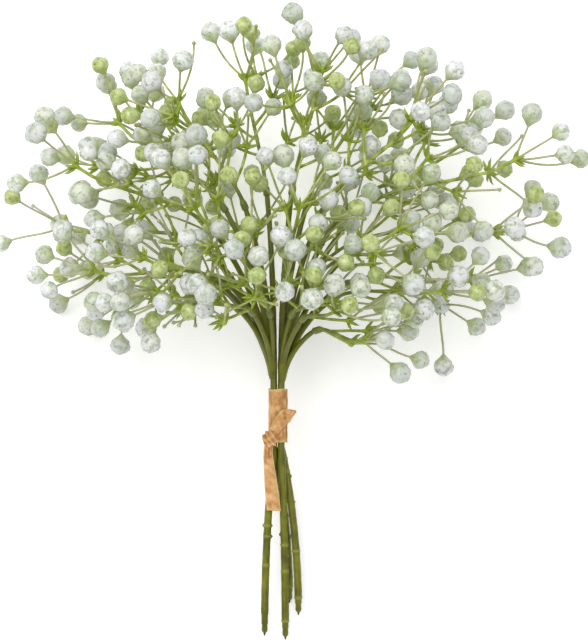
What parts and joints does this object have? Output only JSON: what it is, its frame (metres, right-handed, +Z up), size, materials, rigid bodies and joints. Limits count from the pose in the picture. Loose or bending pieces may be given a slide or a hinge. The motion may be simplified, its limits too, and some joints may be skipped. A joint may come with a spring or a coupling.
{
  "type": "tied bunch of artificial gypsophila",
  "caption": "Moulded gypsophila stems with round white buds on thin branching stalks, held together by a knotted brown paper strip and lying on a surface.",
  "frame": {"origin": "on the surface that the bunch lies on, under the middle of its outline seen from above", "axes": "+Y from the cut ends towards the flowers, +X to the right seen from above with the flowers up, +Z up from the surface"},
  "size_m": [0.2824, 0.2942, 0.1302],
  "materials": {
    "stem_plastic": "satin",
    "spray_plastic": "matte",
    "bud_plastic": "matte",
    "wire_steel": "satin",
    "brown_paper": "matte"
  },
  "bodies": {
    "root": {"paper_strip": "brown_paper", "spray_01": "spray_plastic", "spray_02": "spray_plastic", "spray_03": "spray_plastic", "spray_04": "spray_plastic", "spray_05": "spray_plastic", "spray_06": "spray_plastic", "spray_07": "spray_plastic", "spray_08": "spray_plastic", "spray_09": "spray_plastic", "spray_10": "spray_plastic", "spray_11": "spray_plastic", "spray_12": "spray_plastic", "spray_13": "spray_plastic", "spray_14": "spray_plastic", "spray_15": "spray_plastic", "spray_16": "spray_plastic", "spray_17": "spray_plastic", "spray_18": "spray_plastic", "spray_19": "spray_plastic", "spray_20": "spray_plastic", "spray_21": "spray_plastic", "spray_22": "spray_plastic", "spray_23": "spray_plastic", "spray_24": "spray_plastic", "spray_25": "spray_plastic", "spray_26": "spray_plastic", "spray_27": "spray_plastic", "stem_front_left": "stem_plastic", "stem_front_right": "stem_plastic", "stem_back_right": "stem_plastic", "stem_back_left": "stem_plastic", "wire_front_left": "wire_steel", "wire_front_right": "wire_steel", "wire_back_right": "wire_steel", "wire_back_left": "wire_steel"}
  },
  "joints": []
}
